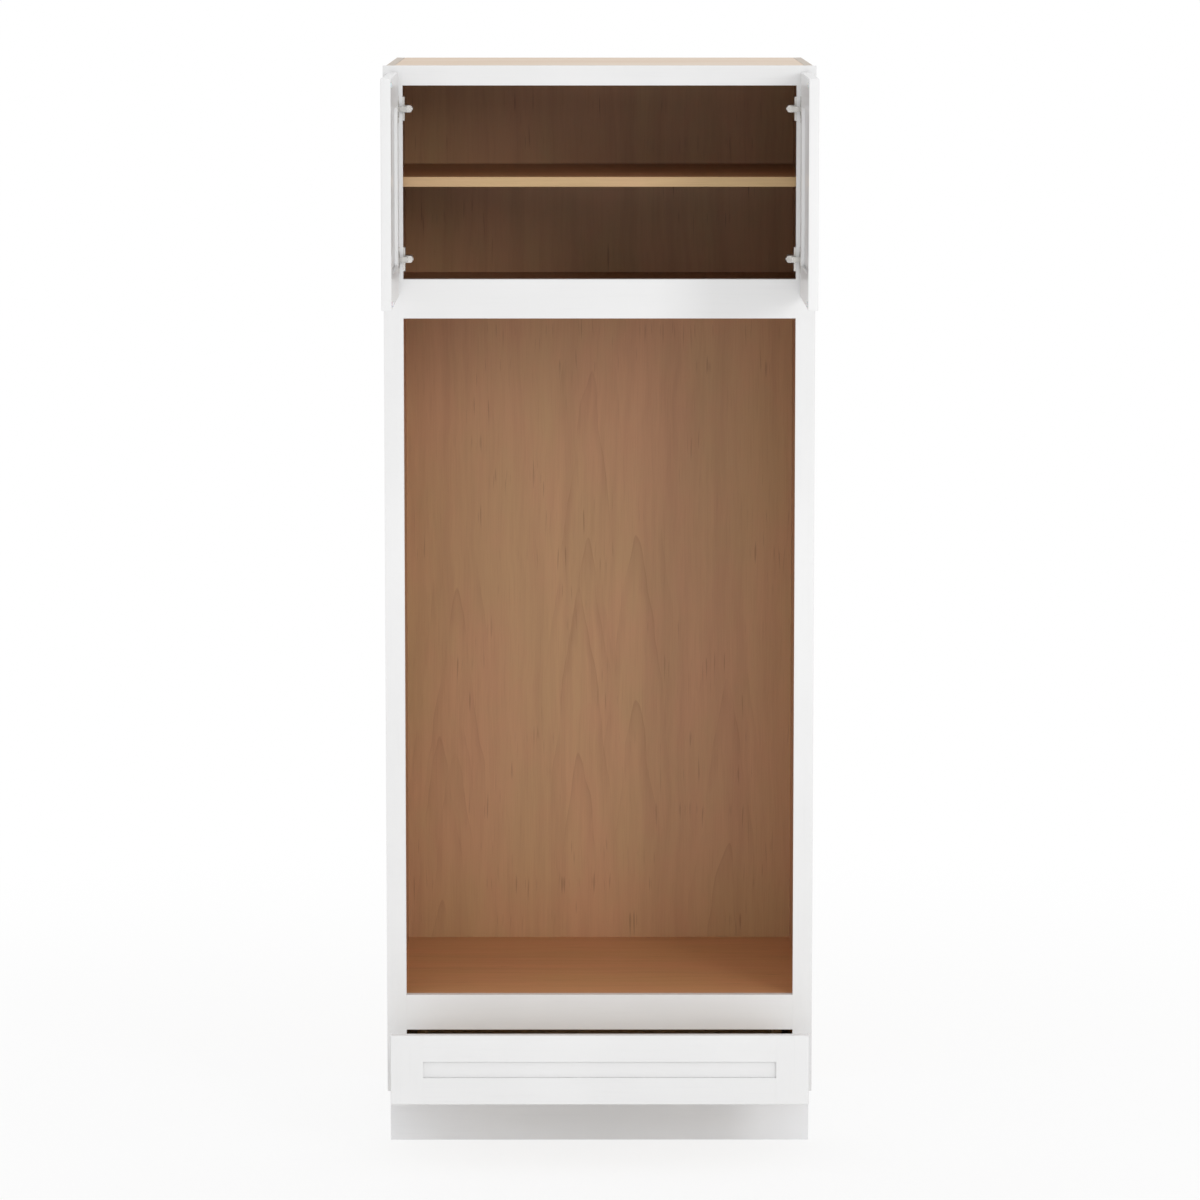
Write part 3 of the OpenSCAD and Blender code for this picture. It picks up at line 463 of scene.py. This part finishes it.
def side_panel_finish(name):
    """White outside, raw on top, veneer elsewhere."""
    f = Finish(name)
    x, y, z = f.place()
    outside = abs(x) > (side_out - SKIN)
    on_top = z > (side_top - SKIN)
    wood, height, fibre = veneer(f, z, y, x, ((0.06, 1.9), (0.27, 1.45), (0.12, 0.9), (0.38, 0.6)),
                                 INSIDE, figure=0.2)
    ply = ((abs(x) - side_in) * PLIES_PER_METRE).fraction()
    veneer_lines = f.ramp(abs(ply - 0.5), 0.1, 0.4)
    edge = f.blend(veneer_lines * 0.4, colour(208, 197, 186), colour(186, 170, 152))
    white = f.blend(f.ramp(fibre, 0.5, 0.8, 0, 0.25), colour(236, 236, 235), colour(228, 227, 224))
    tint = f.blend(on_top, f.blend(outside, wood, white), edge)
    gloss = 0.34 + 0.3 * on_top - 0.05 * outside
    return f.surface(Base_Color=tint, Roughness=gloss, IOR=1.47,
                     Normal=f.bump(height, 0.00005, 0.5))


side_finish = side_panel_finish("side_panel_faces")
print("side panels turn white outside of x =", round(side_out - SKIN, 4))

# %% [markdown]
# ## Metal and bumpers
#
# Hinges are nickel plated and bright, slides are duller zinc with a faint bluish spangle, and
# both carry the fine scratches of the press that bent them. Plating is metal all over, so only
# its roughness and a tint of the colour vary. The bumpers are drops of clear soft plastic.

# %% Plate the metal, and cast the bumpers
def plated(name, bright, dull, roughness, spangle):
    """Plating with crystals, spangle of them to a metre, and a smear of wear."""
    f = Finish(name)
    at = f.place()
    press = f.noise(f.vector(at[0] * 900, at[1] * 60, at[2] * 900), detail=2, roughness=0.6)
    smear = f.noise(f.vector(*at), scale=55, detail=3)
    crystal = f.node("TexVoronoi", {"feature": "F1"}, {"Vector": f.vector(*at), "Scale": spangle})
    tint = f.blend(f.ramp(smear, 0.35, 0.7), bright, dull)
    tint = f.blend(f.ramp(crystal, 0.2, 0.7, 0, 0.25), tint, dull)
    return f.surface(Base_Color=tint, Metallic=0.92, Normal=f.bump(press, 0.00002, 0.5),
                     Roughness=roughness + 0.16 * f.ramp(smear, 0.3, 0.75))


nickel = plated("nickel_plate", colour(216, 214, 210), colour(192, 190, 186), 0.26, 260)
zinc = plated("zinc_plate", colour(206, 210, 216), colour(178, 184, 192), 0.34, 420)
steel_ball = plated("ball_steel", colour(222, 222, 222), colour(196, 197, 199), 0.16, 700)


def soft_drop(name):
    """Clear soft plastic, a little hazy."""
    f = Finish(name)
    at = f.place()
    haze = f.noise(f.vector(*at), scale=140, detail=2)
    tint = f.blend(f.ramp(haze, 0.3, 0.7), colour(226, 228, 228), colour(206, 210, 212))
    return f.surface(Base_Color=tint, Roughness=0.2 + 0.12 * haze, IOR=1.45, Subsurface_Weight=0.3,
                     Subsurface_Scale=0.004, Normal=f.bump(haze, 0.00004, 0.5))


bumper_drop = soft_drop("clear_bumper")
print("metal and plastic:", nickel.name, zinc.name, steel_ball.name, bumper_drop.name)

# %% [markdown]
# ## A copy in whole faces
#
# A solid is bare triangles with no shared corners. A bevel would split it along every seam, so
# the copy of a solid is merged, and its flat areas are joined into single faces. Then the only
# edges left that turn sharply are the real ones, and the bevel operator can round those.

# %% Copy a solid and round its edges
SAME_PLACE = 0.002 * MM
FLAT = math.radians(0.5)
SHARP = math.radians(38)


def merged_copy(node):
    """A copy of a solid, in whole faces."""
    bm = bmesh.new()
    bm.from_mesh(nodes[node].data)
    bmesh.ops.remove_doubles(bm, verts=bm.verts, dist=SAME_PLACE)
    bmesh.ops.dissolve_limit(bm, angle_limit=FLAT, verts=bm.verts, edges=bm.edges)
    bmesh.ops.dissolve_degenerate(bm, dist=SAME_PLACE, edges=bm.edges)
    return bm


def sharp_edges(bm):
    """The edges where two faces meet at a real angle."""
    return [e for e in bm.edges if len(e.link_faces) == 2 and e.calc_face_angle() > SHARP]


def soften(bm, edges, radius, segments=2):
    """Rounds edges to a radius."""
    bmesh.ops.bevel(bm, geom=edges, offset=radius, segments=segments, affect="EDGES",
                    profile=0.5, material=-1, clamp_overlap=True, loop_slide=True)


print("edges that turn by more than", round(math.degrees(SHARP)), "degrees count as sharp")

# %% [markdown]
# ## From a mesh to a piece
#
# A finished mesh becomes an object at the origin that rides on a body, so a door's boards swing
# with the door. It takes the place of its solid. Smooth shading would bend the light across a
# whole board towards its rounded edge, so a Weighted Normal modifier lets the large faces decide.

# %% Turn a mesh into a piece
def piece(bm, node, body, finish):
    """Turns a mesh into a piece that rides on its body in place of its solid."""
    mesh = bpy.data.meshes.new(node + "_piece")
    bm.normal_update()
    bm.to_mesh(mesh)
    bm.free()
    made = bpy.data.objects.new(node + "_piece", mesh)
    bpy.context.scene.collection.objects.link(made)
    mesh.materials.append(finish)
    for face in mesh.polygons:
        face.use_smooth = True
    mesh.set_sharp_from_angle(angle=SHARP)
    level = made.modifiers.new("flat_faces_stay_flat", "WEIGHTED_NORMAL")
    level.keep_sharp = True
    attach(made, body)
    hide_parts(node)
    return made


print(len(bpy.data.materials), "materials so far")

# %% [markdown]
# ## Boards with eased edges
#
# A machined board is a plain block with its tongues, grooves and bores, but nobody leaves its
# edges sharp: they would cut the hand and shed the paint. Each board starts as a copy of its
# solid, so every joint is there. An outer edge is one where two of the board's outer planes
# meet, which leaves the grooves and bores crisp. Where another board butts against it, only a
# hairline is taken off, and that is the joint line which shows through paint.

# %% Ease the outer edges of a board
HAIRLINE = 0.12 * MM
TOUCH = 0.01 * MM


def lies_on(edge, axis, place):
    """Whether an edge lies in the plane at a place on an axis."""
    return all(abs(v.co[axis] - place) < TOUCH for v in edge.verts)


def board(node, body, finish, butts=(), ease=0.8 * MM):
    """A board with rounded outer edges. butts are its neighbours' planes, as (axis, place)."""
    low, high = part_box(node)
    limits = [[low[axis], high[axis]] for axis in range(3)]
    for axis, place in butts:
        limits[axis][0 if abs(place - low[axis]) < abs(place - high[axis]) else 1] = place
    bm = merged_copy(node)
    outer = []
    for edge in sharp_edges(bm):
        planes = sum(any(lies_on(edge, axis, place) for place in limits[axis]) for axis in range(3))
        if planes == 2 and edge.is_convex and not any(lies_on(edge, *butt) for butt in butts):
            outer.append(edge)
    soften(bm, outer, ease, segments=3)
    rims = [e for e in sharp_edges(bm) if e.is_convex and any(lies_on(e, *butt) for butt in butts)]
    soften(bm, rims, HAIRLINE, segments=1)
    return piece(bm, node, body, finish)


print("a joint line is", round(HAIRLINE / MM, 2), "mm deep")

# %% [markdown]
# ## Face frame
#
# Two stiles run the full height and four rails stand between them. On the bench the rails' ends
# are tongues glued into the stiles, so a rail's visible ends are the two planes of the bay. A
# groove behind each stile holds the front edge of a side panel.

# %% Build the face frame
bay_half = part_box("stile_right")[0].x
for side, bay_edge in (("left", -bay_half), ("right", bay_half)):
    board("stile_" + side, "cabinet", paint_upright, butts=((0, bay_edge),))
for rail in ("top_rail", "upper_rail", "lower_rail", "bottom_rail"):
    made = board(rail, "cabinet", paint_level, butts=((0, -bay_half), (0, bay_half)), ease=0.5 * MM)
    print(made.name, round(1000 * made.dimensions.z, 1), "mm tall")

# %% [markdown]
# ## Doors
#
# Each door is a frame of four boards round a thin flat panel. They are drawn standing open, as
# the cabinet is photographed, so a rail lies front to back. Its tongues fill the stiles' grooves
# and show as end grain on the door's top and bottom. The stile by the hinge carries the two deep
# bores of the hinge cups.

# %% Build the doors' boards
DOOR_EASE = 1.0 * MM
for side in ("left", "right"):
    body = side + "_door"
    free_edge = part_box("door_free_stile_" + side)[1].y
    hinge_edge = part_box("door_hinge_stile_" + side)[0].y
    for stile, place in (("free", free_edge), ("hinge", hinge_edge)):
        board("door_" + stile + "_stile_" + side, body, paint_upright, butts=((1, place),),
              ease=DOOR_EASE)
    for place in ("top", "bottom"):
        board("door_" + place + "_rail_" + side, body, paint_swung,
              butts=((1, free_edge), (1, hinge_edge)), ease=DOOR_EASE)
print("between a door's stiles:", round(1000 * (hinge_edge - free_edge), 1), "mm")

# %% [markdown]
# ## Drawer front
#
# The front is a small door lying on its side: two short upright boards, two long rails, and the
# same thin panel set back between them.

# %% Build the drawer front
panel_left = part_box("drawer_front_stile_left")[1].x
panel_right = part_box("drawer_front_stile_right")[0].x
for side, place in (("left", panel_left), ("right", panel_right)):
    board("drawer_front_stile_" + side, "drawer", paint_upright, butts=((0, place),),
          ease=DOOR_EASE)
for place in ("top", "bottom"):
    board("drawer_front_" + place + "_rail", "drawer", paint_level,
          butts=((0, panel_left), (0, panel_right)), ease=DOOR_EASE)
print("panel between them:", round(1000 * (panel_right - panel_left), 1), "mm")

# %% [markdown]
# ## Drawer box
#
# The box is solid maple with through dovetails at its corners: wedge-shaped tails on the sides
# lock between pins on the front and back, and no pull on the front can draw them apart. Its long
# edges are eased by hand before it is lacquered. The joint itself stays crisp, with a hairline
# round each tail.

# %% Ease the drawer box
box_boards = [("front", 0, maple_front), ("back", 0, maple_front), ("side_left", 1, maple_run),
              ("side_right", 1, maple_run)]
for place, axis, finish in box_boards:
    low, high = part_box("drawer_box_" + place)
    made = board("drawer_box_" + place, "drawer", finish,
                 butts=((axis, low[axis]), (axis, high[axis])), ease=0.5 * MM)
    print(made.name, len(made.data.polygons), "faces")

# %% [markdown]
# ## Toe kick and shelf
#
# The toe kick's white skin is a thin strip in front of a structural board. The shelf is a board
# with a band of solid maple glued over its front edge. The band has the softest corners of all,
# since hands and dishes pass over it every day.

# %% Build the toe kick's skin and the shelf
band_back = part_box("shelf_edge_band")[1].y
# The skin takes the brighter, cooler white, which is painted light against the shade under the
# drawer.
board("toe_kick_skin", "cabinet", white_lifted_against_shade, ease=0.5 * MM)
# The shelf's maple is darkened, as painted shade of its compartment.
board("shelf", "cabinet", maple_darkened_for_shade, butts=((1, band_back),), ease=0.3 * MM)
board("shelf_edge_band", "cabinet", maple_edge, butts=((1, band_back),), ease=0.45 * MM)

# %% [markdown]
# ## Hinges, slides and pins
#
# Pressed steel has small radii wherever the tool bent or sheared it, and they are what catches
# the light. Here every sharp edge of a copy gets a radius of a fraction of a millimetre, so the
# metal reads as formed and not as cut from a block.

# %% Round the metal
def formed(node, body, finish, radius):
    """A metal piece with a small radius on all its sharp edges."""
    bm = merged_copy(node)
    soften(bm, sharp_edges(bm), radius)
    return piece(bm, node, body, finish)


metal = [
    ("hinge_plates", "cabinet", "nickel_steel", nickel, 0.3),
    ("hinge_arms", "cabinet", "nickel_steel", nickel, 0.25),
    ("plate_screws", "cabinet", "nickel_steel", nickel, 0.12),
    ("hinge_cups_left", "left_door", "nickel_steel", nickel, 0.15),
    ("hinge_cups_right", "right_door", "nickel_steel", nickel, 0.15),
    ("shelf_pins", "cabinet", "nickel_steel", nickel, 0.2),
    ("slide_cabinet_left", "cabinet", "zinc_steel", zinc, 0.3),
    ("slide_cabinet_right", "cabinet", "zinc_steel", zinc, 0.3),
    ("slide_middle_left", "slide_middles", "zinc_steel", zinc, 0.3),
    ("slide_middle_right", "slide_middles", "zinc_steel", zinc, 0.3),
    ("slide_drawer_left", "drawer", "zinc_steel", zinc, 0.3),
    ("slide_drawer_right", "drawer", "zinc_steel", zinc, 0.3),
]
for node, body, slot, finish, radius in metal:
    made = formed(node, body, finish, radius * MM)
    print(made.name, len(made.data.polygons), "faces")

# %% [markdown]
# ## Finishes for the solids that stay
#
# Everything else keeps its exact shape: veneered sides and decks, the back, the thin panels, the
# small screws and the rows of balls. One table gives each solid its finish.

# %% Give the carried solids their finishes
finishes = {
    side_finish: ["side_panel_left", "side_panel_right"],
    maple_deck: ["oven_deck", "bottom_panel"],
    # The upper deck takes the darkened maple, as painted shade of the shelf compartment.
    maple_darkened_for_shade: ["upper_deck"],
    maple_back: ["back_panel"],
    raw_top: ["top_panel"],
    raw_end: ["toe_kick_board", "rear_base_rail", "oven_deck_cleats", "slide_spacers"],
    paint_upright: ["door_panel_left", "door_panel_right"],
    paint_level: ["drawer_front_panel"],
    thin_bottom: ["drawer_bottom"],
    nickel: ["hinge_fasteners_left", "hinge_fasteners_right"],
    zinc: ["drawer_front_screws"],
    steel_ball: ["outer_ball_cages", "inner_ball_cages"],
    bumper_drop: ["door_bumpers_left", "door_bumpers_right", "drawer_bumpers"],
}
for finish, names in finishes.items():
    for name in names:
        nodes[name].data.materials.clear()
        nodes[name].data.materials.append(finish)
    print(finish.name, "on", len(names), "solids")

# %% [markdown]
# ## Studio
#
# The cabinet stands on a pale floor in a white room. A large soft lamp at the front right and
# above makes the left door brighter than the right one and leaves the compartments dim, and a
# weak wide lamp low in front keeps the toe kick open. Seen by the camera, or mirrored in metal
# and gloss, the room is pure white, while as a light it is weaker, so the cabinet's own whites
# stay grey enough to read.

# %% Light the room
PURE_WHITE = (1, 1, 1, 1)


def seen_rays(f):
    """1 where a ray shows a thing to the camera, straight, mirrored or through glass."""
    kinds = ("Camera", "Glossy", "Transmission")
    return sum(f.node("LightPath", out="Is " + kind + " Ray") for kind in kinds)


def room(strength):
    """A room that is white to look at, and lights things with a strength of its own."""
    world = bpy.data.worlds.new("room")
    bpy.context.scene.world = world
    f = Finish("room", world)
    lit = f.node("Background", inputs={"Color": PURE_WHITE, "Strength": strength})
    seen = f.node("Background", inputs={"Color": PURE_WHITE, "Strength": 1.0})
    mixed = f.node("MixShader", inputs={0: seen_rays(f), 1: lit, 2: seen})
    f.node("OutputWorld", inputs={"Surface": mixed})


def lamp(name, place, target, size, watts):
    """A soft rectangular lamp at a place, turned to a target."""
    data = bpy.data.lights.new(name, "AREA")
    data.shape = "RECTANGLE"
    data.size, data.size_y = size
    data.energy = watts
    made = bpy.data.objects.new(name, data)
    made.location = place
    made.rotation_euler = (Vector(target) - Vector(place)).to_track_quat("-Z", "Y").to_euler()
    bpy.context.scene.collection.objects.link(made)
    return made


room(0.85)
lamp("key", (3.8, -6.8, 3.4), (0, 0, 1.1), (1.6, 2.0), 97)
lamp("low_fill", (0, -5.5, 0.45), (0, 0, 0.2), (4.0, 0.6), 15)
print(len(bpy.data.lights), "lamps")

# %% [markdown]
# ## Floor
#
# The floor is a wide disc. Close to the cabinet it is a plain pale surface that takes a soft
# shadow, and it fades to the room's white further out, so no horizon shows.

# %% Lay the floor
FLOOR_RADIUS = 60
NEAR, FAR = 0.8, 3.5


def floor(radius):
    """A disc that is pale paint close by and pure white far out."""
    bm = bmesh.new()
    bmesh.ops.create_circle(bm, cap_ends=True, segments=96, radius=radius)
    mesh = bpy.data.meshes.new("floor")
    bm.to_mesh(mesh)
    bm.free()
    made = bpy.data.objects.new("floor", mesh)
    made.location.z = -0.1 * MM
    bpy.context.scene.collection.objects.link(made)
    f = Finish("pale_floor")
    x, y, z = f.place()
    far = f.ramp((x * x + y * y) ** 0.5, NEAR, FAR, 0.8, 1.0)
    share = far * seen_rays(f)
    cloud = f.noise(f.vector(x, y, z), scale=1.5, detail=2)
    pale = f.blend(cloud, colour(249, 249, 249), colour(247, 247, 247))
    matt = f.node("BsdfPrincipled", inputs={"Base Color": pale, "Roughness": 0.6})
    white = f.node("Emission", inputs={"Color": PURE_WHITE, "Strength": 1.0})
    mixed = f.node("MixShader", inputs={0: share, 1: matt, 2: white})
    f.node("OutputMaterial", inputs={"Surface": mixed})
    made.data.materials.append(f.owner)
    made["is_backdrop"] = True
    return made


floor(FLOOR_RADIUS)
bpy.context.scene.view_settings.view_transform = "Standard"
print("a floor of", 2 * FLOOR_RADIUS, "m across")

# %% Print the dressed box
low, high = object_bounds()
print("dressed", [round(v, 4) for v in low], [round(v, 4) for v in high])
